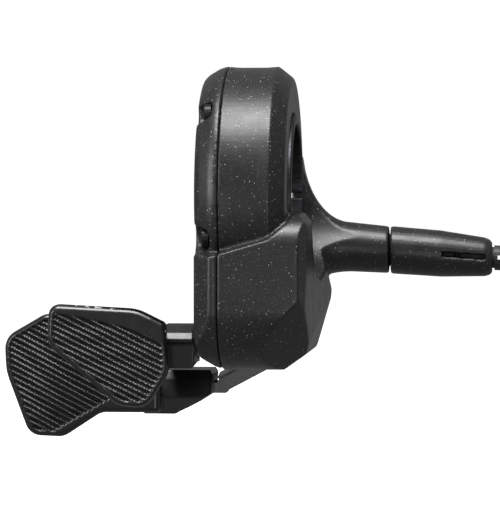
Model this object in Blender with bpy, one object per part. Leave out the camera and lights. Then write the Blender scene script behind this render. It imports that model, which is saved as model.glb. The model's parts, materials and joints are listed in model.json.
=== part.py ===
"""Electronic thumb shifter for the left side of a flat handlebar.

Lengths in this file are millimetres and are turned into metres when a mesh is made.
The handlebar's axis is X, the rider sits on the -Y side, and Z is up. The origin is on the
handlebar's axis, in the middle of the ring-shaped body. Both levers turn about X.
"""
import math

import bmesh
import bpy
from mathutils import Matrix, Vector

MM = 0.001
FIT = 0.3

# Handlebar clamp
BAR_RADIUS = 11.1
BAND_WALL = 1.3
BAND_LEFT = -6.1
BAND_RIGHT = 7.4
EAR_LEFT = -3.0
EAR_RIGHT = 5.0
EAR_HEIGHT = 2.8
EAR_DEPTH = 18.6
SPLIT_GAP = 0.8
CLAMP_BOLT_RADIUS = 2.0
CLAMP_HEAD_RADIUS = 3.3
CLAMP_HEAD_HEIGHT = 2.8
CLAMP_NUT_ACROSS = 6.0
CLAMP_NUT_HEIGHT = 2.4
HEX_KEY = 2.5

# Ring-shaped part of the body
RING_RADIUS = 19.8
CREST_HEIGHT = 0.25
LEFT_FACE = -6.7
RIGHT_FACE = 6.9
LEFT_CREST = -3.2
RIGHT_CREST = 4.6
SIDE_RADIUS = RING_RADIUS - 1.8
SEAM = -2.95
SHELL_WALL = 1.5
BEARING_WALL = 1.1
SIDE_WALL = 1.2

# Lower block of the body: discs in side view as (y, z, radius)
FRONT_TOP_DISC = (-15.8, -8.0, 5.0)
FRONT_LOW_DISC = (-10.8, -16.3, 10.0)
BOTTOM_DISC = (3.0, -17.2, 10.0)
REAR_DISC = (11.5, -8.0, 7.2)
REAR_TOP_DISC = (14.2, -3.6, 4.6)
BLOCK_RIGHT = 13.5

# Step across the block's front as (x, z), left to right
STEP_LINE = ((-20.0, -9.3), (-4.1, -9.1), (4.4, -6.6), (7.3, -4.3), (8.4, -2.4))
STEP_EDGE = -20.7
STEP_SLOPE = 0.15
STEP_WALL = 0.9

# Cable stalk, sleeve and port
STALK_Y = 14.5
STALK_Z = -8.2
STALK_RADIUS = 3.95
STALK_ROOT = 14.9
STALK_END = 20.9
STALK_DROOP = math.radians(4.2)
STALK_BORE = 1.9
SPIGOT_RADIUS = 2.9
SPIGOT_LENGTH = 7.0
SLEEVE_LENGTH = 16.15
SLEEVE_RADIUS = 3.8
SLEEVE_TIP_RADIUS = 3.1
PORT_SLOT_LENGTH = 7.0
PORT_SLOT_WIDTH = 0.85
PLUG_FLANGE_RADIUS = 2.0
PLUG_FLANGE = 1.1
PLUG_RADIUS = 1.7
PLUG_LENGTH = 8.5
GROOVE_WIDTH = 1.1
SEAL_WIRE = 0.3

# Lever hubs and plates
HUB_WIDTH = 1.2
HUB_RADIUS = 15.9
HUB_STEPS = 40
HUB_OPENING = math.radians(62.0)
UPPER_HUB = -5.0
LOWER_HUB = -1.6
RETAINER_WIDTH = 0.8
PLATE_THICKNESS = 2.2

# Strip of the lower lever's plate: profile as (y, distance from its slanting middle)
STRIP_SLANT = math.radians(28.0)
STRIP_LEFT = -4.4
STRIP_RIGHT = 2.2
STRIP_HEIGHT = -27.2
STRIP_PROFILE = (
    (-1.2, -1.05), (0.1, -1.05), (0.1, 0.2), (6.2, 0.9), (6.2, 2.0), (0.6, 1.45),
    (0.6, 1.05), (-1.2, 1.05))

# Lever arms: the upper one in side view as (y, z), the lower one in front view as (x, z)
UPPER_ARM_PROFILE = (
    (-6.8, -19.5), (-10.4, -19.5), (-12.6, -20.7), (-13.4, -21.7), (-13.1, -22.1),
    (-11.4, -22.4), (-11.2, -26.2), (-6.8, -25.7))
LOWER_ARM_OUTLINE = (
    (-16.0, -33.6), (-11.1, -33.6), (-10.0, -33.0), (-9.1, -32.6), (-7.2, -31.6),
    (-5.6, -30.6), (-5.5, -27.6), (-5.9, -26.9), (-14.5, -26.9))

# Switches
PLUNGER_Y = -14.9
PLUNGER_TOP = -10.8
PLUNGER_HEAD_RADIUS = 1.2
PLUNGER_HEAD = 0.9
STEM_RADIUS = 0.5
SWITCH_TOP = -15.0
SWITCH_HEIGHT = 3.8
SWITCH_DEPTH = 2.9
SWITCH_WIDTH = 2.2
BOARD_THICKNESS = 0.8
SPRING_RADIUS = 0.95
SPRING_WIRE = 0.18
SPRING_TURNS = 4

# Cover screws: (y, z) of each axis
SCREW_PLACES = ((-13.6, 12.2), (-17.0, -6.3), (11.6, 14.0), (-13.0, -21.2))
SCREW_RADIUS = 0.8
SCREW_HEAD_RADIUS = 1.55
SCREW_HEAD = 1.1
SCREW_LENGTH = 6.0

# Thumb paddles: (x, z, corner radius)
PAD_THICKNESS = 2.0
BACKING_THICKNESS = 1.4
UPPER_PAD_FRONT = -16.0
LOWER_PAD_FRONT = -8.0
UPPER_PAD_CORNERS = (
    (-28.9, -16.3, 1.6), (-15.6, -17.0, 6.0), (-11.3, -19.1, 0.8), (-10.7, -26.5, 5.0),
    (-14.2, -32.0, 3.0), (-18.6, -31.5, 3.0), (-29.3, -22.4, 3.5))
LOWER_PAD_CORNERS = (
    (-31.0, -18.2, 2.0), (-37.2, -21.8, 3.0), (-37.0, -27.0, 8.0), (-33.3, -36.8, 2.6),
    (-28.0, -37.0, 2.6), (-22.2, -33.2, 3.0), (-13.0, -33.2, 0.8), (-13.0, -27.2, 0.8),
    (-26.0, -18.2, 3.0))

RING_STEPS = 120
SMALL_STEPS = 20
OUTLINE_STEPS = 64
TINY = 1e-6


# ---------------------------------------------------------------- helpers
def clear_scene():
    for item in list(bpy.data.objects):
        bpy.data.objects.remove(item, do_unlink=True)


def make_material(name, colour, metallic, roughness):
    mat = bpy.data.materials.new(name)
    mat.use_nodes = True
    shader = mat.node_tree.nodes["Principled BSDF"]
    shader.inputs["Base Color"].default_value = (*colour, 1.0)
    shader.inputs["Metallic"].default_value = metallic
    shader.inputs["Roughness"].default_value = roughness
    mat.diffuse_color = (*colour, 1.0)
    return mat


def solid(name, points, faces, mat=None, smooth=True):
    """Mesh object from points in millimetres, with its faces pointing out."""
    mesh = bpy.data.meshes.new(name)
    mesh.from_pydata([Vector(point) * MM for point in points], [], faces)
    work = bmesh.new()
    work.from_mesh(mesh)
    bmesh.ops.recalc_face_normals(work, faces=work.faces)
    work.to_mesh(mesh)
    work.free()
    thing = bpy.data.objects.new(name, mesh)
    bpy.context.scene.collection.objects.link(thing)
    if mat:
        mesh.materials.append(mat)
    if smooth:
        mesh.shade_smooth()
        mesh.set_sharp_from_angle(angle=math.radians(30))
    return thing


def loft(name, sections, mat=None, closed=False):
    """Skin through sections with equal point counts; capped unless it closes on itself."""
    count = len(sections[0])
    points = [point for section in sections for point in section]
    faces = []
    spans = len(sections) if closed else len(sections) - 1
    for level in range(spans):
        low = level * count
        high = (level + 1) % len(sections) * count
        for step in range(count):
            after = (step + 1) % count
            faces.append((low + step, low + after, high + after, high + step))
    if not closed:
        faces.append(tuple(range(count)))
        faces.append(tuple(range(len(points) - count, len(points))))
    return solid(name, points, faces, mat)


def along(axis, value, pair):
    """Point from a value on the named axis and a pair on the other two, in X, Y, Z order."""
    spot = list(pair)
    spot.insert("XYZ".index(axis), value)
    return tuple(spot)


def prism(name, outline, axis, low, high, mat=None):
    sections = [[along(axis, value, pair) for pair in outline] for value in (low, high)]
    return loft(name, sections, mat)


def box(name, low, high, mat=None):
    outline = [(low[1], low[2]), (high[1], low[2]), (high[1], high[2]), (low[1], high[2])]
    return prism(name, outline, "X", low[0], high[0], mat)


def circle(centre, radius, steps):
    angles = [2 * math.pi * (step + 0.5) / steps for step in range(steps)]
    return [(centre[0] + radius * math.cos(a), centre[1] + radius * math.sin(a)) for a in angles]


def rod(name, axis, centre, radius, low, high, mat=None, steps=SMALL_STEPS):
    return prism(name, circle(centre, radius, steps), axis, low, high, mat)


def turned(name, profile, mat=None, start=0.0, sweep=2 * math.pi, steps=RING_STEPS):
    """Solid from a closed (x, radius) profile turned about X, whole or as an arc."""
    whole = sweep > 2 * math.pi - TINY
    stations = steps if whole else steps + 1
    sections = []
    for step in range(stations):
        angle = start + sweep * step / steps
        sections.append([(x, r * math.cos(angle), r * math.sin(angle)) for x, r in profile])
    return loft(name, sections, mat, closed=whole)


def ring(name, inner, outer, low, high, mat=None, opening=0.0):
    """Ring about X; an opening is the half angle left out around +Y."""
    profile = [(low, inner), (high, inner), (high, outer), (low, outer)]
    steps = HUB_STEPS if opening else RING_STEPS
    return turned(name, profile, mat, opening, 2 * math.pi - 2 * opening, steps)


def shaft(name, stations, mat=None, steps=SMALL_STEPS):
    """Round solid about the X axis from (x, radius) stations."""
    sections = [[(x, y, z) for y, z in circle((0, 0), r, steps)] for x, r in stations]
    return loft(name, sections, mat)


def combine(target, other, operation):
    """Boolean of two objects; the second one is used up."""
    step = target.modifiers.new(operation, "BOOLEAN")
    step.operation = operation
    step.object = other
    step.solver = "EXACT"
    bpy.context.view_layer.update()
    graph = bpy.context.evaluated_depsgraph_get()
    mesh = bpy.data.meshes.new_from_object(target.evaluated_get(graph))
    target.modifiers.clear()
    target.data = mesh
    bpy.data.objects.remove(other, do_unlink=True)
    return target


def cut(target, *others):
    for other in others:
        combine(target, other, "DIFFERENCE")
    return target


def join(target, *others):
    for other in others:
        combine(target, other, "UNION")
    return target


def shave(target, point, normal):
    """Remove what lies beyond a plane, and close the cut."""
    work = bmesh.new()
    work.from_mesh(target.data)
    every = work.verts[:] + work.edges[:] + work.faces[:]
    found = bmesh.ops.bisect_plane(
        work, geom=every, plane_co=Vector(point) * MM, plane_no=Vector(normal).normalized(),
        clear_outer=True, dist=MM * TINY)
    edges = [item for item in found["geom_cut"] if isinstance(item, bmesh.types.BMEdge)]
    bmesh.ops.holes_fill(work, edges=edges, sides=0)
    bmesh.ops.recalc_face_normals(work, faces=work.faces)
    work.to_mesh(target.data)
    work.free()
    return target


def duplicate(source, name):
    thing = bpy.data.objects.new(name, source.data.copy())
    bpy.context.scene.collection.objects.link(thing)
    return thing


def finish(thing, mat):
    thing.data.materials.clear()
    thing.data.materials.append(mat)
    thing.data.shade_smooth()
    thing.data.set_sharp_from_angle(angle=math.radians(30))
    return thing


def hull_of_discs(discs, inset):
    """Convex outline around discs in side view, drawn in by an inset."""
    outline = []
    for step in range(OUTLINE_STEPS):
        angle = 2 * math.pi * step / OUTLINE_STEPS
        way = (math.cos(angle), math.sin(angle))
        disc = max(discs, key=lambda d: d[0] * way[0] + d[1] * way[1] + d[2])
        outline.append(tuple(disc[i] + (disc[2] - inset) * way[i] for i in range(2)))
    return outline


def rounded_outline(corners, inset=0.0):
    """Closed outline from (x, z, radius) corners, each turned into an arc."""
    outline = []
    centre = [sum(c[i] for c in corners) / len(corners) for i in range(2)]
    for index, corner in enumerate(corners):
        spot = Vector(corner[:2])
        before = (Vector(corners[index - 1][:2]) - spot).normalized()
        after = (Vector(corners[(index + 1) % len(corners)][:2]) - spot).normalized()
        half = before.angle(after) / 2
        reach = corner[2] / math.sin(half)
        middle = spot + (before + after).normalized() * reach
        first = spot + before * (corner[2] / math.tan(half)) - middle
        turn = math.pi - 2 * half
        side = 1 if first.x * (before + after).y - first.y * (before + after).x < 0 else -1
        steps = max(2, round(math.degrees(turn) / 15))
        for step in range(steps + 1):
            angle = side * turn * step / steps
            spin = Matrix.Rotation(angle, 2)
            point = middle + spin @ first
            pull = (point - Vector(centre)).normalized() * inset
            outline.append(tuple(point - pull))
    return outline


def centred(thing, point):
    """Put an object's origin at a point without moving its shape."""
    shift = Vector(point) * MM
    thing.data.transform(Matrix.Translation(-shift))
    thing.location = shift
    return thing


# ---------------------------------------------------------------- body
def ring_solid():
    crest = RING_RADIUS + CREST_HEIGHT
    profile = [
        (RIGHT_FACE, BAR_RADIUS), (LEFT_FACE, BAR_RADIUS), (LEFT_FACE, SIDE_RADIUS),
        (LEFT_FACE + 0.7, SIDE_RADIUS + 0.7), (LEFT_CREST - 1.2, RING_RADIUS - 0.15),
        (LEFT_CREST, crest), (SEAM + 0.3, RING_RADIUS + 0.1), (SEAM + 1.6, RING_RADIUS),
        (RIGHT_CREST - 1.8, RING_RADIUS), (RIGHT_CREST - 0.4, RING_RADIUS + 0.1),
        (RIGHT_CREST, crest - 0.1), (RIGHT_FACE - 0.3, SIDE_RADIUS + 0.35),
        (RIGHT_FACE, SIDE_RADIUS)]
    return turned("ring", profile)


def step_cutter(inset):
    """What is cut away above the step between the ring and the block's front."""
    sections = []
    for y in (STEP_EDGE - 5.0, STEP_EDGE + 6.7 + inset):
        rise = (y - STEP_EDGE) * STEP_SLOPE - inset
        line = [(x + inset, y, z + rise) for x, z in STEP_LINE]
        sections.append(line + [(line[-1][0], y, RING_RADIUS), (line[0][0], y, RING_RADIUS)])
    return loft("step", sections)


def block_solid(inset, side_inset, step_inset):
    """Lower block with its faceted right side and chamfered left side, or its hollow."""
    discs = (FRONT_TOP_DISC, FRONT_LOW_DISC, BOTTOM_DISC, REAR_DISC, REAR_TOP_DISC)
    outline = hull_of_discs(discs, inset)
    block = prism("block", outline, "X", LEFT_FACE + side_inset, BLOCK_RIGHT)
    facets = [
        ((10.4, -17.0, 0.0), (0.998, -0.05, -0.02)),
        ((8.0, 14.5, 1.0), (0.971, 0.057, 0.228)),
        ((9.1, -20.8, 0.0), (0.93, -0.36, 0.0)),
        ((9.2, -17.0, -2.9), (0.78, -0.1, 0.62)),
        ((9.28, -20.8, -15.6), (0.552, -0.561, -0.617)),
        ((10.7, 5.0, -20.0), (0.97, 0.0, -0.25)),
        ((10.2, 0.0, -23.5), (0.58, 0.0, -0.815)),
        ((-4.2, -20.8, 0.0), (-0.693, -0.721, 0.0)),
        ((-6.8, 0.0, -21.0), (-0.956, 0.0, -0.292)),
        ((-6.1, 0.0, -24.0), (-0.6, 0.0, -0.8)),
    ]
    for point, normal in facets:
        way = Vector(normal).normalized()
        depth = side_inset if way.x < 0 else inset
        shave(block, Vector(point) - way * depth, way)
    return cut(block, step_cutter(step_inset))


def stalk_height(x):
    """Height of the stalk's centre line, which droops away from its root."""
    return STALK_Z - max(0.0, x - STALK_ROOT) * math.tan(STALK_DROOP)


def flare(x, reach, rise):
    """Quarter-ellipse fillet: rise at the wall, falling to nothing at the stalk's root."""
    share = min(1.0, max(0.0, (STALK_ROOT - x) / reach))
    return rise * (1 - math.sqrt(1 - share * share))


def stalk_solid():
    wall = RIGHT_FACE + 0.25
    sections = []
    places = [wall, 7.5, 8.0, 8.7, 9.6, 10.6, 11.6, 12.6, 13.7, STALK_ROOT, STALK_END]
    for x in places:
        radius = STALK_RADIUS - 0.2 * max(0.0, x - STALK_ROOT) / (STALK_END - STALK_ROOT)
        top = radius + flare(x, STALK_ROOT - wall + 0.1, 12.5)
        bottom = radius + flare(x, STALK_ROOT - wall + 2.0, 6.5)
        inner = radius + flare(x, STALK_ROOT - wall + 0.3, 5.0)
        outer = radius + flare(x, STALK_ROOT - wall + 1.5, 0.8)
        section = []
        for step in range(32):
            angle = 2 * math.pi * step / 32
            side = math.cos(angle)
            lift = math.sin(angle)
            y = STALK_Y + side * (outer if side > 0 else inner)
            z = stalk_height(x) + lift * (top if lift > 0 else bottom)
            section.append((x, y, z))
        sections.append(section)
    return loft("stalk", sections)


def stalk_shape(name, stations, mat=None, steps=SMALL_STEPS):
    """Round solid on the stalk's drooping centre line from (x, radius) stations."""
    sections = []
    for x, radius in stations:
        middle = (STALK_Y, stalk_height(x))
        sections.append([(x, y, z) for y, z in circle(middle, radius, steps)])
    return loft(name, sections, mat)


def screw_posts(low, high, radius):
    return [rod("post", "X", place, radius, low, high) for place in SCREW_PLACES]


def body_cavity():
    """Ring-shaped and lower hollows as one, less the rear clamp block and the screw posts."""
    tube = BAR_RADIUS + BAND_WALL + 0.4 + BEARING_WALL
    right = RIGHT_FACE - SHELL_WALL
    left = LEFT_FACE + SIDE_WALL
    profile = [(left, tube), (right, tube), (right, RING_RADIUS - SHELL_WALL),
               (left + 1.6, RING_RADIUS - SHELL_WALL), (left, SIDE_RADIUS - SHELL_WALL)]
    around = turned("around", profile)
    below = block_solid(SHELL_WALL, SIDE_WALL, STEP_WALL)
    cut(below, rod("bar", "X", (0, 0), tube + 0.3, LEFT_FACE, BLOCK_RIGHT, steps=RING_STEPS))
    post = SCREW_HEAD_RADIUS + 0.5
    hollow = join(around, below)
    cut(hollow, box("rear", (-20, 10.5, -8.8), (20, 30, 30)))
    cut(hollow, *screw_posts(LEFT_FACE - 1, SEAM - 0.4 * FIT, post))
    cut(hollow, *screw_posts(SEAM - 0.6 * FIT, BLOCK_RIGHT, SCREW_RADIUS + 0.6))
    return hollow


def lever_window(left, right):
    """Opening under the body that both levers leave through."""
    return box("window", (left, -7.1, -30), (right, 10.6, -21.8))


def make_body(mat_body, mat_cover):
    bore = BAR_RADIUS + BAND_WALL + 0.4
    shell = join(ring_solid(), block_solid(0.0, 0.0, 0.0), stalk_solid())
    cut(shell, rod("bore", "X", (0, 0), bore, -20, 30, steps=RING_STEPS))
    cut(shell, body_cavity())
    cut(shell, stalk_shape("lead_way", [(RIGHT_FACE, 2.6), (13.0, 2.6), (13.4, STALK_BORE),
                                        (STALK_END + 2, STALK_BORE)]))
    cut(shell, box("clamp_pocket", (EAR_LEFT - 0.5, bore - 1, -6.7), (EAR_RIGHT + 0.5, 25, 6.7)))
    key_x = (EAR_LEFT + EAR_RIGHT) / 2
    cut(shell, rod("key_way", "Z", (key_x, clamp_bolt_y()), HEX_KEY / 2 + 0.45, 6, 20))
    cover = duplicate(shell, "left_cover")

    tube_left = LEFT_FACE + SIDE_WALL + FIT
    tube_edge = bore + BEARING_WALL + FIT / 2
    left_half = box("left_half", (-60, -60, -60), (SEAM, 60, 60))
    cut(left_half, rod("kept_tube", "X", (0, 0), tube_edge, tube_left, 0, steps=RING_STEPS))
    main = cut(shell, left_half)
    main.name = "main_housing"
    cut(main, box("slot", (SEAM - 1, -1.9, -30), (3.8, 10.6, -22.6)))
    spigot_end = STALK_END + SPIGOT_LENGTH
    spigot = stalk_shape("spigot", [(STALK_END - 1, SPIGOT_RADIUS - 0.4),
                                    (spigot_end, SPIGOT_RADIUS - 0.9)])
    join(main, spigot)
    cut(main, stalk_shape("port_way", [(STALK_END - 3, STALK_BORE - 0.3),
                                       (spigot_end + 1, STALK_BORE - 0.6)]))
    cut(main, *screw_posts(SEAM - 1, SEAM + SCREW_LENGTH, SCREW_RADIUS + 0.25))
    finish(main, mat_body)

    cut(cover, box("right_half", (SEAM - FIT, -60, -60), (60, 60, 60)))
    cut(cover, rod("room", "X", (0, 0), tube_edge + FIT, tube_left - FIT, 0, steps=RING_STEPS))
    cut(cover, lever_window(LEFT_FACE - 2, 0))
    cut(cover, *screw_posts(LEFT_FACE - 2, screw_seat(), SCREW_HEAD_RADIUS + FIT))
    cut(cover, *screw_posts(LEFT_FACE - 2, 0, SCREW_RADIUS + 0.25))
    finish(cover, mat_cover)


def clamp_bolt_y():
    return BAR_RADIUS + BAND_WALL + FIT + CLAMP_HEAD_RADIUS - 0.6


def screw_seat():
    return LEFT_FACE + 2.3


def make_cover_screws(mat):
    for index, (y, z) in enumerate(SCREW_PLACES):
        name = f"cover_screw_{index + 1}"
        seat = screw_seat() - FIT / 3
        head = shaft(name, [(seat - SCREW_HEAD, 1.2), (seat - SCREW_HEAD + 0.2, SCREW_HEAD_RADIUS),
                            (seat, SCREW_HEAD_RADIUS)])
        join(head, shaft("shank", [(seat - 0.3, SCREW_RADIUS - 0.05),
                                   (SEAM + SCREW_LENGTH - 0.4, SCREW_RADIUS - 0.05)]))
        cut(head, rod("recess", "X", (0, 0), 0.75, seat - SCREW_HEAD - 1, seat - 0.45, steps=6))
        head.location = Vector((0, y, z)) * MM
        finish(head, mat)


# ---------------------------------------------------------------- clamp
def make_clamp(mat_band, mat_steel):
    outer = BAR_RADIUS + BAND_WALL
    band = ring("clamp_band", BAR_RADIUS, outer, BAND_LEFT, BAND_RIGHT)
    half = SPLIT_GAP / 2 + EAR_HEIGHT
    ears = box("ears", (EAR_LEFT, outer - 0.7, -half), (EAR_RIGHT, EAR_DEPTH, half))
    join(band, ears)
    cut(band, box("split", (-20, 5, -SPLIT_GAP / 2), (20, 30, SPLIT_GAP / 2)))
    middle = ((EAR_LEFT + EAR_RIGHT) / 2, clamp_bolt_y())
    cut(band, rod("hole", "Z", middle, CLAMP_BOLT_RADIUS + 0.25, -10, 10))
    finish(band, mat_band)

    seat = half + 0.15
    bolt = rod("clamp_bolt", "Z", middle, CLAMP_HEAD_RADIUS - 0.15, seat, seat + CLAMP_HEAD_HEIGHT)
    join(bolt, rod("shank", "Z", middle, CLAMP_BOLT_RADIUS, -seat - CLAMP_NUT_HEIGHT, seat + 1))
    key_radius = HEX_KEY / 2 / math.cos(math.pi / 6)
    cut(bolt, rod("socket", "Z", middle, key_radius, seat + 1.0, seat + 5, steps=6))
    centred(finish(bolt, mat_steel), (*middle, seat))
    nut_radius = CLAMP_NUT_ACROSS / 2 / math.cos(math.pi / 6)
    nut = rod("clamp_nut", "Z", middle, nut_radius, -seat - CLAMP_NUT_HEIGHT, -seat, steps=6)
    cut(nut, rod("thread", "Z", middle, CLAMP_BOLT_RADIUS + 0.15, -20, 0))
    centred(finish(nut, mat_steel), (*middle, -seat))


# ---------------------------------------------------------------- levers
def hub_bore():
    return BAR_RADIUS + BAND_WALL + 0.4 + BEARING_WALL + FIT


def hub(name, left):
    """C-shaped hub on the bearing tube, with the finger that presses its switch plunger."""
    body = ring(name, hub_bore(), HUB_RADIUS, left, left + HUB_WIDTH, opening=HUB_OPENING)
    finger_low = PLUNGER_TOP + FIT
    finger = box("finger", (left, PLUNGER_Y - 0.7, finger_low),
                 (left + HUB_WIDTH, -12.0, finger_low + 1.2))
    return join(body, finger)


def make_upper_lever(mats, axis):
    plate = hub("upper_lever_plate", UPPER_HUB)
    right = UPPER_HUB + HUB_WIDTH
    join(plate, box("drop", (UPPER_HUB, -6.5, -24.7), (right, -1.5, -15.0)))
    join(plate, box("foot", (-11.5, -6.5, -24.7), (right - 0.4, -1.5, -24.7 + PLATE_THICKNESS)))
    arm = prism("upper_lever_arm", UPPER_ARM_PROFILE, "X", -12.0, -7.4)
    shave(arm, (-7.1, 0.0, -24.4), (0.943, 0.0, -0.33))
    join(arm, box("rear", (-12.2, -7.4, -25.7), (-7.7, -0.9, -21.2)))
    back = UPPER_PAD_FRONT + PAD_THICKNESS + FIT
    backing = prism("backing", rounded_outline(UPPER_PAD_CORNERS, 0.5), "Y",
                    back, back + BACKING_THICKNESS)
    join(arm, backing)
    cut(arm, box("pocket", (-11.8, -6.8, -25.0), (-7.0, -1.2, -24.4 + PLATE_THICKNESS)))
    pad = prism("upper_paddle", rounded_outline(UPPER_PAD_CORNERS), "Y",
                UPPER_PAD_FRONT, UPPER_PAD_FRONT + PAD_THICKNESS)
    screw = pad_screw("upper_arm_screw", (-18.0, -24.0), back, arm, pad)
    dress_lever((plate, arm, pad, screw), mats, axis)


def make_lower_lever(mats, axis):
    plate = hub("lower_lever_plate", LOWER_HUB)
    right = LOWER_HUB + HUB_WIDTH
    join(plate, box("drop", (LOWER_HUB, -0.5, -27.8), (right, 5.5, -15.0)))
    sections = []
    for x in (STRIP_LEFT, STRIP_RIGHT):
        centre = STRIP_HEIGHT + x * math.tan(STRIP_SLANT)
        sections.append([(x - n * math.sin(STRIP_SLANT), y, centre + n * math.cos(STRIP_SLANT))
                         for y, n in STRIP_PROFILE])
    join(plate, loft("strip", sections))
    foot_z = -29.9
    join(plate, box("foot", (-10.5, 0.6, foot_z - 0.8), (STRIP_LEFT + 0.6, 5.2, foot_z + 0.8)))
    arm = prism("lower_lever_arm", LOWER_ARM_OUTLINE, "Y", -4.6, 5.6)
    shave(arm, (0.0, -3.6, -28.3), (0.0, -0.88, 0.475))
    shave(arm, (0.0, -3.6, -28.3), (0.0, -0.94, 0.34))
    back = LOWER_PAD_FRONT + PAD_THICKNESS + FIT
    backing = prism("backing", rounded_outline(LOWER_PAD_CORNERS, 0.5), "Y",
                    back, back + BACKING_THICKNESS)
    join(arm, backing)
    cut(arm, box("pocket", (-10.8, 0.3, foot_z - 1.1), (-5.0, 5.5, foot_z + 1.1)))
    pad = prism("lower_paddle", rounded_outline(LOWER_PAD_CORNERS), "Y",
                LOWER_PAD_FRONT, LOWER_PAD_FRONT + PAD_THICKNESS)
    screw = pad_screw("lower_arm_screw", (-31.0, -28.0), back, arm, pad)
    dress_lever((plate, arm, pad, screw), mats, axis)


def pad_screw(name, place, back, arm, pad):
    """Screw from behind that holds a ribbed pad on its arm."""
    rear = back + BACKING_THICKNESS
    screw = rod(name, "Y", place, 1.5, rear + 0.1, rear + 0.9)
    join(screw, rod("shank", "Y", place, 0.7, back - 1.3, rear + 0.4))
    cut(screw, rod("recess", "Y", place, 0.7, rear + 0.5, rear + 2, steps=6))
    cut(arm, rod("hole", "Y", place, 1.0, back - 1, rear + 1))
    cut(pad, rod("hole", "Y", place, 1.0, back - 1.6, rear + 1))
    return screw


def dress_lever(pieces, mats, axis):
    for piece, mat in zip(pieces, mats):
        finish(piece, mat)
        piece.parent = axis


def make_bushes(mat):
    inner = hub_bore()
    spacer_left = UPPER_HUB + HUB_WIDTH + FIT
    ring("hub_spacer", inner, HUB_RADIUS - 0.4, spacer_left, LOWER_HUB - FIT, mat, HUB_OPENING)
    retainer = LOWER_HUB + HUB_WIDTH + FIT
    ring("hub_retainer", inner, HUB_RADIUS - 0.2, retainer, retainer + RETAINER_WIDTH, mat,
         HUB_OPENING)


def make_stop_pins(mat):
    rod("upper_stop_pin", "X", (-7.8, -19.4), 0.9, LEFT_FACE + SIDE_WALL + FIT, 4.8, mat)
    rod("lower_stop_pin", "X", (-1.8, -21.0), 0.9, -3.3, 4.8, mat)


# ---------------------------------------------------------------- electronics
def plunger_x(hub_left):
    return hub_left + HUB_WIDTH / 2 + 0.4


def helix(name, centre, low, high, mat):
    """Compression spring as a round wire along a helix about Z."""
    sections = []
    steps = SPRING_TURNS * 12
    climb = (high - low) / steps
    for step in range(steps + 1):
        angle = 2 * math.pi * SPRING_TURNS * step / steps
        out = Vector((math.cos(angle), math.sin(angle), 0))
        middle = Vector((*centre, low + climb * step)) + out * SPRING_RADIUS
        wire = [2 * math.pi * corner / 6 for corner in range(6)]
        sections.append([tuple(middle + out * (SPRING_WIRE * math.cos(a))
                               + Vector((0, 0, SPRING_WIRE * math.sin(a)))) for a in wire])
    return loft(name, sections, mat)


def make_switch(side, hub_left, case_left, mats):
    mat_case, mat_plunger, mat_spring = mats
    x = plunger_x(hub_left)
    half = SWITCH_DEPTH / 2
    case = box(f"{side}_switch_case", (case_left, PLUNGER_Y - half, SWITCH_TOP - SWITCH_HEIGHT),
               (case_left + SWITCH_WIDTH, PLUNGER_Y + half, SWITCH_TOP))
    cut(case, rod("bore", "Z", (x, PLUNGER_Y), STEM_RADIUS + FIT, SWITCH_TOP - 3.4, SWITCH_TOP + 1))
    finish(case, mat_case)
    head = PLUNGER_TOP - PLUNGER_HEAD
    plunger = rod(f"{side}_switch_plunger", "Z", (x, PLUNGER_Y), PLUNGER_HEAD_RADIUS,
                  head, PLUNGER_TOP)
    join(plunger, rod("stem", "Z", (x, PLUNGER_Y), STEM_RADIUS, SWITCH_TOP - 0.9, head + 0.3))
    centred(finish(plunger, mat_plunger), (x, PLUNGER_Y, PLUNGER_TOP))
    helix(f"{side}_plunger_spring", (x, PLUNGER_Y), SWITCH_TOP + 0.4, head - 0.4, mat_spring)


def make_electronics(palette):
    mats = (palette["switch"], palette["cream"], palette["steel"])
    make_switch("upper", UPPER_HUB, plunger_x(UPPER_HUB) - 1.0, mats)
    make_switch("lower", LOWER_HUB, plunger_x(LOWER_HUB) - SWITCH_WIDTH / 2, mats)
    front = PLUNGER_Y - SWITCH_DEPTH / 2 - FIT
    box("circuit_board", (-3.6, front - BOARD_THICKNESS, -17.6), (4.6, front, -10.2),
        palette["board"])

    socket_left = 13.9
    socket_right = STALK_END - 3.2
    stalk_shape("port_socket", [(socket_left, 1.45), (socket_right, 1.35)], palette["cream"])
    for index, shift in enumerate((-0.55, 0.55)):
        left = socket_right + FIT
        sections = []
        for x in (left, left + 5.0):
            spot = (STALK_Y + shift, stalk_height(x))
            sections.append([(x, y, z) for y, z in circle(spot, 0.22, 10)])
        loft(f"port_pin_{index + 1}", sections, palette["brass"])
    make_lead(palette["rubber"], (4.9, front - 0.4, -12.0), (socket_left - FIT, STALK_Y, STALK_Z))


def make_lead(mat, start, end):
    """Two-core lead from the board, under the bar, to the port socket."""
    side = 9.2 - SHELL_WALL
    route = [start, (6.0, -16.0, -13.0), (7.2, -13.0, -16.5), (side, -8.0, -19.5),
             (side, 0.0, -20.8), (side, 7.0, -18.8), (side + 0.4, 11.8, -14.5),
             (8.9, 14.2, -9.6), (11.0, STALK_Y, STALK_Z), end]
    curve = bpy.data.curves.new("inner_lead", "CURVE")
    curve.dimensions = "3D"
    curve.bevel_depth = 0.5 * MM
    curve.bevel_resolution = 2
    curve.use_fill_caps = True
    spline = curve.splines.new("POLY")
    smooth = smooth_route(route, 3)
    spline.points.add(len(smooth) - 1)
    for point, place in zip(spline.points, smooth):
        point.co = (*(place * MM), 1)
    curve.materials.append(mat)
    lead = bpy.data.objects.new("inner_lead", curve)
    bpy.context.scene.collection.objects.link(lead)


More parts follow.
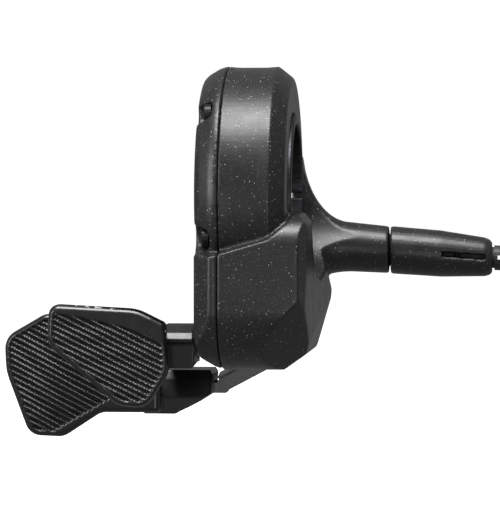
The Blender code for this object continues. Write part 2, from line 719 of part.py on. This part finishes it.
def smooth_route(route, parts):
    """Catmull-Rom curve through a route's points."""
    ends = [Vector(route[0])] + [Vector(p) for p in route] + [Vector(route[-1])]
    smooth = []
    for index in range(1, len(ends) - 2):
        a, b, c, d = ends[index - 1:index + 3]
        for part in range(parts):
            t = part / parts
            smooth.append(0.5 * (2 * b + (c - a) * t + (2 * a - 5 * b + 4 * c - d) * t * t
                                 + (3 * b - a - 3 * c + d) * t ** 3))
    smooth.append(ends[-1])
    return smooth


# ---------------------------------------------------------------- port
def make_port(palette):
    left = STALK_END + FIT
    right = left + SLEEVE_LENGTH
    stations = [(left, SLEEVE_RADIUS - 0.15), (left + 0.3, SLEEVE_RADIUS),
                (left + 8, SLEEVE_RADIUS - 0.1), (right - 1.2, SLEEVE_TIP_RADIUS),
                (right - 0.4, SLEEVE_TIP_RADIUS - 0.3), (right, SLEEVE_TIP_RADIUS - 0.8)]
    sleeve = stalk_shape("port_sleeve", stations, steps=32)
    nose = STALK_END + SPIGOT_LENGTH + FIT
    cut(sleeve, stalk_shape("seat", [(left - 1, SPIGOT_RADIUS + 0.1), (nose, SPIGOT_RADIUS - 0.4)]))
    cut(sleeve, stalk_shape("bore", [(nose - 1, PLUG_RADIUS + 0.5), (right + 1, PLUG_RADIUS + 0.3)]))
    slot_right = right - 1.0
    slot = []
    for x in (slot_right - PORT_SLOT_LENGTH, slot_right):
        low = stalk_height(x) - PORT_SLOT_WIDTH / 2
        high = low + PORT_SLOT_WIDTH
        front = STALK_Y - 8
        slot.append([(x, front, low), (x, STALK_Y, low), (x, STALK_Y, high), (x, front, high)])
    cut(sleeve, loft("slot", slot))
    finish(sleeve, palette["body"])

    flange = right + FIT
    stem_end = flange - PLUG_LENGTH
    groove = stem_end + 2.0
    plug = stalk_shape("port_plug", [
        (stem_end, PLUG_RADIUS - 0.4), (stem_end + 0.4, PLUG_RADIUS), (groove, PLUG_RADIUS),
        (groove, PLUG_RADIUS - 0.6), (groove + GROOVE_WIDTH, PLUG_RADIUS - 0.6),
        (groove + GROOVE_WIDTH, PLUG_RADIUS), (flange, PLUG_RADIUS),
        (flange, PLUG_FLANGE_RADIUS), (flange + PLUG_FLANGE - 0.2, PLUG_FLANGE_RADIUS),
        (flange + PLUG_FLANGE, PLUG_FLANGE_RADIUS - 0.3)])
    notch_z = stalk_height(flange)
    cut(plug, box("notch", (flange + 0.5, STALK_Y - 5, notch_z - 0.35),
                  (flange + 3, STALK_Y + 5, notch_z + 0.35)))
    centred(finish(plug, palette["rubber"]), (flange, STALK_Y, stalk_height(flange)))
    middle = groove + GROOVE_WIDTH / 2
    seal = loft("plug_seal", seal_sections(middle), palette["rubber"], closed=True)
    centred(seal, (middle, STALK_Y, stalk_height(middle)))


def seal_sections(x):
    """O-ring round the plug's groove."""
    radius = PLUG_RADIUS - 0.05
    sections = []
    for step in range(24):
        angle = 2 * math.pi * step / 24
        section = []
        for corner in range(8):
            turn = 2 * math.pi * corner / 8
            reach = radius + SEAL_WIRE * math.cos(turn)
            section.append((x + SEAL_WIRE * math.sin(turn), STALK_Y + reach * math.cos(angle),
                            stalk_height(x) + reach * math.sin(angle)))
        sections.append(section)
    return sections


def make_axis(name):
    axis = bpy.data.objects.new(name, None)
    bpy.context.scene.collection.objects.link(axis)
    return axis


def build():
    clear_scene()
    palette = {
        "body": make_material("speckled_plastic", (0.02, 0.02, 0.022), 0.0, 0.42),
        "cover": make_material("speckled_cover", (0.022, 0.022, 0.024), 0.0, 0.42),
        "arm": make_material("lever_plastic", (0.018, 0.018, 0.02), 0.0, 0.4),
        "pad": make_material("ribbed_pad", (0.02, 0.02, 0.022), 0.0, 0.35),
        "rubber": make_material("black_rubber", (0.015, 0.015, 0.015), 0.0, 0.6),
        "band": make_material("anodised_band", (0.03, 0.03, 0.032), 0.6, 0.4),
        "steel": make_material("steel", (0.5, 0.5, 0.52), 1.0, 0.3),
        "plate": make_material("lever_steel", (0.35, 0.35, 0.36), 1.0, 0.35),
        "brass": make_material("contact_brass", (0.75, 0.55, 0.25), 1.0, 0.3),
        "board": make_material("circuit_board", (0.02, 0.16, 0.06), 0.0, 0.5),
        "switch": make_material("switch_plastic", (0.05, 0.05, 0.055), 0.0, 0.5),
        "cream": make_material("cream_plastic", (0.7, 0.66, 0.55), 0.0, 0.5),
    }
    make_body(palette["body"], palette["cover"])
    make_cover_screws(palette["steel"])
    make_clamp(palette["band"], palette["steel"])
    make_bushes(palette["cream"])
    make_stop_pins(palette["steel"])
    lever_mats = (palette["plate"], palette["arm"], palette["pad"], palette["steel"])
    make_upper_lever(lever_mats, make_axis("upper_lever_axis"))
    make_lower_lever(lever_mats, make_axis("lower_lever_axis"))
    make_electronics(palette)
    make_port(palette)


build()
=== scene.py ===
"""Looks for the thumb shifter: moulded shells, ribbed thumb pads, materials, light and camera."""
import json
import math

import bmesh
import bpy
from mathutils import Matrix, Vector


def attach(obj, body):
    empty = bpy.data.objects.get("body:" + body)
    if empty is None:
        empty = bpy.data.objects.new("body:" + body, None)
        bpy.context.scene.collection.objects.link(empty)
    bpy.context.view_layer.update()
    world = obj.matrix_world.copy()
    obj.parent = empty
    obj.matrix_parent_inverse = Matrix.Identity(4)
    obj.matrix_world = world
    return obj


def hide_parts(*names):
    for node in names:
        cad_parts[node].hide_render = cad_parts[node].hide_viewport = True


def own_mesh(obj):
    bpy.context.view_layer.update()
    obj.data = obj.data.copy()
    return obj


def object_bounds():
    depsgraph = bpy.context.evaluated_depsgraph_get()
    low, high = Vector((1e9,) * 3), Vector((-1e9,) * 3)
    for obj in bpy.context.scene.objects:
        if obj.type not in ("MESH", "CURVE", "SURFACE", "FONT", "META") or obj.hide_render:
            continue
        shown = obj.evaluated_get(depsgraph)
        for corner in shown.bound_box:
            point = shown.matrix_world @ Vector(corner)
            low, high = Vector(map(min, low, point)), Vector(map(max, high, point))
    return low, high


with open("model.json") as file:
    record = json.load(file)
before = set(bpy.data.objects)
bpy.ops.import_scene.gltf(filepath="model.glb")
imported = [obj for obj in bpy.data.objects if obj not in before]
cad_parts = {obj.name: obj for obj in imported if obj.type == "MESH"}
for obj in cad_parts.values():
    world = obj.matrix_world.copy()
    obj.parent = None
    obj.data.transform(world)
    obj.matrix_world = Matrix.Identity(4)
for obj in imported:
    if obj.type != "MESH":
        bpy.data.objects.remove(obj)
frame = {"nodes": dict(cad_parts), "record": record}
cad_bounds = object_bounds()

MM = 0.001
# Camera, floor and lights, in metres and watts
CAMERA_AZIMUTH = math.radians(5.5)
CAMERA_DISTANCE = 0.425
CAMERA_LENS = 195.4
CAMERA_LIFT = -0.1129
FLOOR_DROP = 0.024
FLOOR_GLOW = 0.9
WORLD_LIGHT = 0.28
# Name, place, aim, size and power
LIGHTS = (
    ("overhead", (-0.04, -0.2, 0.56), (0.0, 0.0, 0.0), (0.4, 0.26), 6.5),
    ("left_strip", (-0.42, -0.42, 0.14), (0.0, 0.0, 0.0), (0.1, 0.4), 2.2),
    ("front_low", (0.1, -0.6, -0.1), (0.0, 0.0, -0.01), (0.2, 0.2), 0.5),
)

# Lengths from here on are in millimetres, unless a comment says otherwise
# Moulded shells: node, voxel size and smoothing passes
MOULDED = {
    "main_housing": (0.24, 5),
    "left_cover": (0.24, 5),
    "port_sleeve": (0.18, 4),
    "upper_lever_arm": (0.14, 4),
    "lower_lever_arm": (0.14, 4),
    "clamp_band": (0.22, 3),
}
# Cover's edge at the seam: where it is, how far in it is moved, and by how much
SEAM_SIDE = -3.25
SEAM_REACH = 0.5
SEAM_PUSH = 0.26
# Plunger springs, and the joints that squeeze them
SPRINGS = {
    "upper_plunger_spring": "upper_plunger_press",
    "lower_plunger_spring": "lower_plunger_press",
}
# Cover screws keep their own black finish. The clamp bolt is a steel part, and it gets the same
# black finish as painted shade where it shows through the gap at the clamp band's split.
DARK_SCREWS_AND_SHADED_BOLT = ("cover_screw_1", "cover_screw_2", "cover_screw_3", "cover_screw_4", "clamp_bolt")
BEVELLED = {"lower_lever_plate": 0.12, "upper_lever_plate": 0.12, "port_plug": 0.15}

# Thumb pads: front face, rib angle, crest of the bow measured across the ribs, corners as
# (x, z, radius), and the lines as (x, z) that the ribs stay below and above
PAD_THICKNESS = 2.0
UPPER_PAD = {
    "node": "upper_paddle", "front": -16.0, "rib_angle": -26.0,
    "bow_crest": -32.0,
    "corners": (
        (-28.9, -16.3, 1.6), (-15.6, -17.0, 6.0), (-11.3, -19.1, 0.8), (-10.7, -26.5, 5.0),
        (-14.2, -32.0, 3.0), (-18.6, -31.5, 3.0), (-29.3, -22.4, 3.5)),
    "below": ((-30.0, -17.2), (-24.0, -18.1), (-18.7, -19.2), (-13.6, -20.8), (-10.5, -23.4)),
    "above": ((-30.0, -40.0), (-10.0, -40.0)),
}
LOWER_PAD = {
    "node": "lower_paddle", "front": -8.0, "rib_angle": -27.0,
    "bow_crest": -38.0,
    "corners": (
        (-31.0, -18.2, 2.0), (-37.2, -21.8, 3.0), (-37.0, -27.0, 8.0), (-33.3, -36.8, 2.6),
        (-28.0, -37.0, 2.6), (-22.2, -33.2, 3.0), (-13.0, -33.2, 0.8), (-13.0, -27.2, 0.8),
        (-26.0, -18.2, 3.0)),
    "below": ((-38.0, -18.4), (-10.0, -18.4)),
    "above": ((-38.0, -41.3), (-10.0, -25.0)),
}
RIB_PITCH = 0.8
RIB_DEPTH = 0.42
NOTCH_PITCH = 0.45
NOTCH_DEPTH = 0.03
BOW_DEPTH = 0.35
BOW_REACH = 11.0
PAD_GRID = 0.13
EDGE_ROUND = 0.9
# Smooth rim outside the ribs, rising share of a rib, and the width over which ribs fade out
RIM = 0.55
RIB_RISE = 0.65
RIB_FADE = 0.45
# Slope of the smooth top above the ribs, and the most that slope and bow take together
PAD_LEAN = 0.16
PAD_DEEPEST = 0.8
# Share of a grid step kept clear of the outline, degrees per arc step, shortest squared edge
GRID_MARGIN = 0.45
ARC_STEP = 8.0
TINY = 1e-12


# ---------------------------------------------------------------- materials
class Recipe:
    """A Principled material with short helpers for its nodes."""

    def __init__(self, name, roughness, metallic=0.0, specular=0.5):
        self.mat = bpy.data.materials.new(name)
        self.mat.use_nodes = True
        self.tree = self.mat.node_tree
        self.shader = self.tree.nodes["Principled BSDF"]
        self.shader.inputs["Roughness"].default_value = roughness
        self.shader.inputs["Metallic"].default_value = metallic
        self.shader.inputs["Specular IOR Level"].default_value = specular
        self.place = self.tree.nodes.new("ShaderNodeTexCoord").outputs["Object"]

    def node(self, kind, **settings):
        item = self.tree.nodes.new(kind)
        for key, value in settings.items():
            setattr(item, key, value)
        return item

    def link(self, source, target):
        self.tree.links.new(source, target)

    def stretched(self, scale):
        mapping = self.node("ShaderNodeMapping")
        mapping.inputs["Scale"].default_value = scale
        self.link(self.place, mapping.inputs["Vector"])
        return mapping.outputs["Vector"]

    def noise(self, scale, detail=3.0, place=None):
        item = self.node("ShaderNodeTexNoise")
        item.inputs["Scale"].default_value = scale
        item.inputs["Detail"].default_value = detail
        self.link(place or self.place, item.inputs["Vector"])
        return item.outputs["Fac"]

    def ramp(self, source, stops):
        item = self.node("ShaderNodeValToRGB")
        band = item.color_ramp
        while len(band.elements) < len(stops):
            band.elements.new(0.5)
        for element, (spot, colour) in zip(band.elements, stops):
            element.position = spot
            element.color = (*colour, 1.0) if isinstance(colour, tuple) else (colour,) * 3 + (1.0,)
        self.link(source, item.inputs["Fac"])
        return item.outputs["Color"]

    def mix(self, factor, first, second):
        item = self.node("ShaderNodeMix", data_type="RGBA")
        self.link(factor, item.inputs["Factor"])
        self.link(first, item.inputs["A"])
        self.link(second, item.inputs["B"])
        return item.outputs["Result"]

    def bump(self, height, strength, distance):
        item = self.node("ShaderNodeBump")
        item.inputs["Strength"].default_value = strength
        item.inputs["Distance"].default_value = distance * MM
        self.link(height, item.inputs["Height"])
        self.link(item.outputs["Normal"], self.shader.inputs["Normal"])

    def speckles(self, per_mm, size, share):
        """Mask of small flakes: cells of a Voronoi field, of which only a share is lit."""
        cells = self.node("ShaderNodeTexVoronoi")
        cells.inputs["Scale"].default_value = per_mm / MM
        self.link(self.place, cells.inputs["Vector"])
        near = self.ramp(cells.outputs["Distance"], [(size * 0.55, 1.0), (size, 0.0)])
        pick = self.node("ShaderNodeSeparateColor")
        self.link(cells.outputs["Color"], pick.inputs["Color"])
        lit = self.ramp(pick.outputs["Red"], [(1.0 - share, 0.0), (1.0 - share * 0.45, 1.0)])
        both = self.node("ShaderNodeMath", operation="MULTIPLY")
        self.link(near, both.inputs[0])
        self.link(lit, both.inputs[1])
        return both.outputs["Value"]


def speckled_plastic(name, shade):
    """Black moulded plastic with fine bright flakes, a faint grain and worn roughness."""
    recipe = Recipe(name, 0.4, specular=0.45)
    dark = (shade * 0.8, shade * 0.8, shade * 0.86)
    pale = (shade * 1.3, shade * 1.3, shade * 1.4)
    tone = recipe.ramp(recipe.noise(260.0, 4.0), [(0.3, dark), (0.75, pale)])
    flakes = recipe.speckles(2.7, 0.22, 0.3)
    dust = recipe.speckles(4.6, 0.34, 0.6)
    bright = recipe.ramp(flakes, [(0.0, 0.0), (1.0, (0.5, 0.52, 0.55))])
    soft = recipe.ramp(dust, [(0.0, 0.0), (1.0, (0.085, 0.088, 0.096))])
    dusted = recipe.mix(dust, tone, soft)
    recipe.link(recipe.mix(flakes, dusted, bright), recipe.shader.inputs["Base Color"])
    rough = recipe.ramp(recipe.noise(420.0, 5.0), [(0.25, 0.33), (0.8, 0.43)])
    recipe.link(rough, recipe.shader.inputs["Roughness"])
    recipe.bump(recipe.noise(5200.0, 2.0), 0.35, 0.02)
    return recipe.mat


def satin_plastic(name, shade, low, high, grain=6000.0):
    """Plain plastic or rubber with uneven roughness and a fine grain."""
    recipe = Recipe(name, low, specular=0.5)
    dark = (shade * 0.8, shade * 0.8, shade * 0.83)
    pale = (shade * 1.25, shade * 1.25, shade * 1.3)
    tone = recipe.ramp(recipe.noise(310.0, 5.0), [(0.3, dark), (0.8, pale)])
    recipe.link(tone, recipe.shader.inputs["Base Color"])
    recipe.link(recipe.ramp(recipe.noise(650.0, 5.0), [(0.3, low), (0.75, high)]),
                recipe.shader.inputs["Roughness"])
    recipe.bump(recipe.noise(grain, 2.0), 0.3, 0.02)
    return recipe.mat


def brushed_metal(name, colour, low, high, along):
    """Steel with fine scratches along one direction and slightly uneven polish."""
    recipe = Recipe(name, low, metallic=1.0)
    streaks = recipe.noise(1.0, 4.0, recipe.stretched(along))
    tone = recipe.ramp(streaks, [
        (0.3, tuple(c * 0.78 for c in colour)), (0.7, tuple(min(1.0, c * 1.15) for c in colour))])
    recipe.link(tone, recipe.shader.inputs["Base Color"])
    recipe.link(recipe.ramp(streaks, [(0.3, low), (0.7, high)]), recipe.shader.inputs["Roughness"])
    recipe.bump(streaks, 0.25, 0.01)
    return recipe.mat


def laminate(name):
    """Green board with darker tracks under the lacquer."""
    recipe = Recipe(name, 0.35)
    tracks = recipe.node("ShaderNodeTexBrick")
    tracks.inputs["Scale"].default_value = 900.0
    tracks.inputs["Color1"].default_value = (0.02, 0.17, 0.06, 1.0)
    tracks.inputs["Color2"].default_value = (0.018, 0.13, 0.05, 1.0)
    tracks.inputs["Mortar"].default_value = (0.03, 0.24, 0.09, 1.0)
    recipe.link(recipe.place, tracks.inputs["Vector"])
    recipe.link(tracks.outputs["Color"], recipe.shader.inputs["Base Color"])
    recipe.bump(recipe.noise(2500.0, 2.0), 0.2, 0.02)
    return recipe.mat


def make_materials():
    return {
        "body": speckled_plastic("body_plastic", 0.009),
        "cover": speckled_plastic("cover_plastic", 0.01),
        "arm": satin_plastic("arm_plastic", 0.01, 0.3, 0.42),
        "pad": satin_plastic("pad_plastic", 0.008, 0.2, 0.3, 9000.0),
        "rubber": satin_plastic("black_rubber", 0.016, 0.5, 0.68),
        "band": brushed_metal("anodised", (0.06, 0.06, 0.065), 0.35, 0.5, (400, 5000, 5000)),
        "steel": brushed_metal("bright_steel", (0.55, 0.55, 0.57), 0.22, 0.34, (3000, 3000, 900)),
        "plate": brushed_metal("lever_steel", (0.13, 0.13, 0.135), 0.3, 0.42, (500, 6000, 6000)),
        "screw": brushed_metal("black_screw", (0.03, 0.03, 0.032), 0.4, 0.52, (900, 3000, 3000)),
        "brass": brushed_metal("contact_brass", (0.78, 0.56, 0.25), 0.25, 0.35, (600, 5000, 5000)),
        "board": laminate("board_laminate"),
        "switch": satin_plastic("switch_plastic", 0.05, 0.45, 0.6),
        "cream": satin_plastic("natural_plastic", 0.6, 0.4, 0.55),
    }


# ---------------------------------------------------------------- pieces
SLOTS = {row["node"]: row["material_slot"] for row in frame["record"]["subparts"]}
BODY_OF = {node: body for body, nodes in frame["record"]["behaviour"]["bodies"].items()
           for node in nodes}


def dress(thing, mat):
    thing.data.materials.clear()
    thing.data.materials.append(mat)


def smooth(thing, angle=30):
    thing.data.shade_smooth()
    thing.data.set_sharp_from_angle(angle=math.radians(angle))


def apply_modifiers(thing):
    bpy.context.view_layer.update()
    graph = bpy.context.evaluated_depsgraph_get()
    mesh = bpy.data.meshes.new_from_object(thing.evaluated_get(graph))
    thing.modifiers.clear()
    thing.data = mesh


def replace_node(thing, node, mat):
    """Put a finished look in the place of its CAD node."""
    dress(thing, mat)
    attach(thing, BODY_OF[node])
    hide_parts(node)


def moulded(node, voxel, passes, mat):
    """Copy of a CAD shell with its edges softened as a mould leaves them."""
    thing = bpy.data.objects.new(f"{node}_skin", frame["nodes"][node].data.copy())
    bpy.context.scene.collection.objects.link(thing)
    remesh = thing.modifiers.new("even", "REMESH")
    remesh.mode = "VOXEL"
    remesh.voxel_size = voxel * MM
    remesh.use_smooth_shade = True
    soften = thing.modifiers.new("soften", "SMOOTH")
    soften.factor = 0.5
    soften.iterations = passes
    apply_modifiers(thing)
    if node == "left_cover":
        close_seam(thing)
    thing.data.shade_smooth()
    replace_node(thing, node, mat)
    return thing


def squeezed_spring(node, mat):
    """Copy of a spring, smoothed and put in place of its CAD node."""
    thing = bpy.data.objects.new(f"{node}_coil", frame["nodes"][node].data.copy())
    bpy.context.scene.collection.objects.link(thing)
    smooth(thing)
    replace_node(thing, node, mat)
    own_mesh(thing)


def close_seam(cover):
    """Give back what softening took from the cover's edge at the seam."""
    for vert in cover.data.vertices:
        near = 1.0 - (SEAM_SIDE - vert.co.x / MM) / SEAM_REACH
        vert.co.x += max(0.0, min(1.0, near)) * SEAM_PUSH * MM


def rounded_outline(corners):
    """Closed outline from (x, z, radius) corners, each turned into an arc."""
    outline = []
    for index, corner in enumerate(corners):
        spot = Vector(corner[:2])
        before = (Vector(corners[index - 1][:2]) - spot).normalized()
        after = (Vector(corners[(index + 1) % len(corners)][:2]) - spot).normalized()
        half = before.angle(after) / 2
        middle = spot + (before + after).normalized() * (corner[2] / math.sin(half))
        first = spot + before * (corner[2] / math.tan(half)) - middle
        turn = math.pi - 2 * half
        cross = first.x * (before + after).y - first.y * (before + after).x
        side = 1 if cross < 0 else -1
        steps = max(2, round(math.degrees(turn) / ARC_STEP))
        for step in range(steps + 1):
            outline.append(middle + Matrix.Rotation(side * turn * step / steps, 2) @ first)
    return outline


def nearest_on(outline, point):
    """Spot on an outline closest to a point."""
    best = None
    for index, here in enumerate(outline):
        last = outline[index - 1]
        edge = here - last
        if edge.length_squared < TINY:
            continue
        share = max(0.0, min(1.0, (point - last).dot(edge) / edge.length_squared))
        spot = last + edge * share
        if best is None or (spot - point).length < (best - point).length:
            best = spot
    return best


def edge_distance(point, outline):
    """Distance from a point to an outline, positive inside it."""
    nearest = (nearest_on(outline, point) - point).length
    inside = False
    for index, here in enumerate(outline):
        last = outline[index - 1]
        if (here.y > point.y) != (last.y > point.y):
            crossing = (last.x - here.x) * (point.y - here.y) / (last.y - here.y) + here.x
            if point.x < crossing:
                inside = not inside
    return nearest if inside else -nearest


def step_between(low, high, value):
    """Smooth step from 0 at low to 1 at high."""
    share = max(0.0, min(1.0, (value - low) / (high - low)))
    return share * share * (3 - 2 * share)


def height_of(line, x):
    """Height of a line of (x, z) points at x."""
    for (x0, z0), (x1, z1) in zip(line, line[1:]):
        if x <= x1:
            break
    return z0 + (x - x0) * (z1 - z0) / (x1 - x0)


def pad_depth(pad, point, distance):
    """How far the pad's face lies behind its front plane: rim, ribs, leaning top and bow."""
    rim = max(0.0, EDGE_ROUND - distance)
    depth = EDGE_ROUND - math.sqrt(max(0.0, EDGE_ROUND ** 2 - rim ** 2))
    angle = math.radians(pad["rib_angle"])
    across = -point.x * math.sin(angle) + point.y * math.cos(angle)
    phase = (across / RIB_PITCH) % 1.0
    ridge = phase / RIB_RISE if phase < RIB_RISE else (1.0 - phase) / (1.0 - RIB_RISE)
    top = height_of(pad["below"], point.x)
    low = height_of(pad["above"], point.x)
    ribbed = step_between(0.0, RIB_FADE, min(top - point.y, point.y - low, distance - RIM))
    along = point.x * math.cos(angle) + point.y * math.sin(angle)
    notch = NOTCH_DEPTH * (0.5 + 0.5 * math.cos(2 * math.pi * along / NOTCH_PITCH))
    lean = PAD_LEAN * max(0.0, point.y - top)
    bow = BOW_DEPTH * ((across - pad["bow_crest"]) / BOW_REACH) ** 2
    return depth + ribbed * (RIB_DEPTH * (1.0 - ridge) + notch) + min(lean + bow, PAD_DEEPEST)


def ribbed_pad(pad, mat):
    """Thumb pad: a fine grid over the outline, pushed back by the ribs, on a closed slab."""
    outline = rounded_outline(pad["corners"])
    work = bmesh.new()
    low = Vector((min(p.x for p in outline), min(p.y for p in outline)))
    high = Vector((max(p.x for p in outline), max(p.y for p in outline)))
    columns = int((high.x - low.x) / PAD_GRID) + 1
    rows = int((high.y - low.y) / PAD_GRID) + 1
    inner = {}
    for column in range(columns + 1):
        for row in range(rows + 1):
            point = low + Vector((column, row)) * PAD_GRID
            distance = edge_distance(point, outline)
            if distance > PAD_GRID * GRID_MARGIN:
                depth = pad["front"] + pad_depth(pad, point, distance)
                inner[column, row] = work.verts.new(Vector((point.x, depth, point.y)) * MM)
    for column, row in list(inner):
        keys = [(column, row), (column + 1, row), (column + 1, row + 1), (column, row + 1)]
        if all(key in inner for key in keys):
            work.faces.new([inner[key] for key in keys])
    bmesh.ops.delete(work, geom=[v for v in work.verts if not v.link_faces], context="VERTS")
    border = [edge for edge in work.edges if len(edge.link_faces) == 1]
    for target in (EDGE_ROUND, PAD_THICKNESS):
        grown = bmesh.ops.extrude_edge_only(work, edges=border)["geom"]
        fresh = [item for item in grown if isinstance(item, bmesh.types.BMVert)]
        for vert in fresh:
            point = Vector((vert.co.x, vert.co.z)) / MM
            if target == EDGE_ROUND:
                point = nearest_on(outline, point)
            vert.co = Vector((point.x, pad["front"] + target, point.y)) * MM
        border = [item for item in grown if isinstance(item, bmesh.types.BMEdge)
                  and len(item.link_faces) == 1]
    bmesh.ops.holes_fill(work, edges=border, sides=0)
    bmesh.ops.recalc_face_normals(work, faces=work.faces)
    mesh = bpy.data.meshes.new(pad["node"] + "_ribbed")
    work.to_mesh(mesh)
    work.free()
    thing = bpy.data.objects.new(mesh.name, mesh)
    bpy.context.scene.collection.objects.link(thing)
    smooth(thing, angle=50)
    replace_node(thing, pad["node"], mat)
    return thing


# ---------------------------------------------------------------- studio
def area_light(name, place, aim, size, power):
    data = bpy.data.lights.new(name, "AREA")
    data.shape = "RECTANGLE"
    data.size, data.size_y = size
    data.energy = power
    lamp = bpy.data.objects.new(name, data)
    bpy.context.scene.collection.objects.link(lamp)
    lamp.location = place
    way = Vector(aim) - Vector(place)
    lamp.rotation_euler = way.to_track_quat("-Z", "Y").to_euler()


def make_world():
    """White behind the object, and a dimmer even light on it."""
    world = bpy.data.worlds.new("studio")
    bpy.context.scene.world = world
    world.use_nodes = True
    tree = world.node_tree
    backdrop = tree.nodes["Background"]
    backdrop.inputs["Color"].default_value = (1.0, 1.0, 1.0, 1.0)
    ray = tree.nodes.new("ShaderNodeLightPath")
    level = tree.nodes.new("ShaderNodeMapRange")
    level.inputs["To Min"].default_value = WORLD_LIGHT
    level.inputs["To Max"].default_value = 1.0
    tree.links.new(ray.outputs["Is Camera Ray"], level.inputs["Value"])
    tree.links.new(level.outputs["Result"], backdrop.inputs["Strength"])


def make_floor():
    low, _high = cad_bounds
    bpy.ops.mesh.primitive_plane_add(size=6.0, location=(0, 0, low[2] - FLOOR_DROP))
    floor = bpy.context.object
    floor.name = "floor"
    recipe = Recipe("pale_floor", 0.9)
    shade = recipe.ramp(recipe.noise(3.0), [(0.3, 0.9), (0.7, 0.94)])
    recipe.link(shade, recipe.shader.inputs["Base Color"])
    recipe.link(shade, recipe.shader.inputs["Emission Color"])
    recipe.shader.inputs["Emission Strength"].default_value = FLOOR_GLOW
    dress(floor, recipe.mat)
    floor.visible_diffuse = False
    floor.visible_glossy = False


def make_studio():
    bpy.context.scene.view_settings.view_transform = "Standard"
    make_world()
    make_floor()
    for name, place, aim, size, power in LIGHTS:
        area_light(name, place, aim, size, power)


def make_camera():
    data = bpy.data.cameras.new("camera")
    data.lens = CAMERA_LENS
    data.shift_y = CAMERA_LIFT
    camera = bpy.data.objects.new("camera", data)
    bpy.context.scene.collection.objects.link(camera)
    camera.location = (CAMERA_DISTANCE * math.sin(CAMERA_AZIMUTH),
                       -CAMERA_DISTANCE * math.cos(CAMERA_AZIMUTH), 0.0)
    camera.rotation_euler = (math.pi / 2, 0.0, CAMERA_AZIMUTH)
    bpy.context.scene.camera = camera


def main():
    materials = make_materials()
    make_camera()
    make_studio()
    for node, thing in frame["nodes"].items():
        # The black finish on the clamp bolt is painted shade for the gap it shows through.
        dress(thing, materials["screw" if node in DARK_SCREWS_AND_SHADED_BOLT else SLOTS[node]])
        smooth(thing)
    for node, (voxel, passes) in MOULDED.items():
        moulded(node, voxel, passes, materials[SLOTS[node]])
    for node, joint in SPRINGS.items():
        squeezed_spring(node, materials["steel"])
    for node, width in BEVELLED.items():
        edge = frame["nodes"][node].modifiers.new("edge", "BEVEL")
        edge.width = width * MM
        edge.segments = 2
        edge.limit_method = "ANGLE"
    for pad in (UPPER_PAD, LOWER_PAD):
        ribbed_pad(pad, materials["pad"])


main()
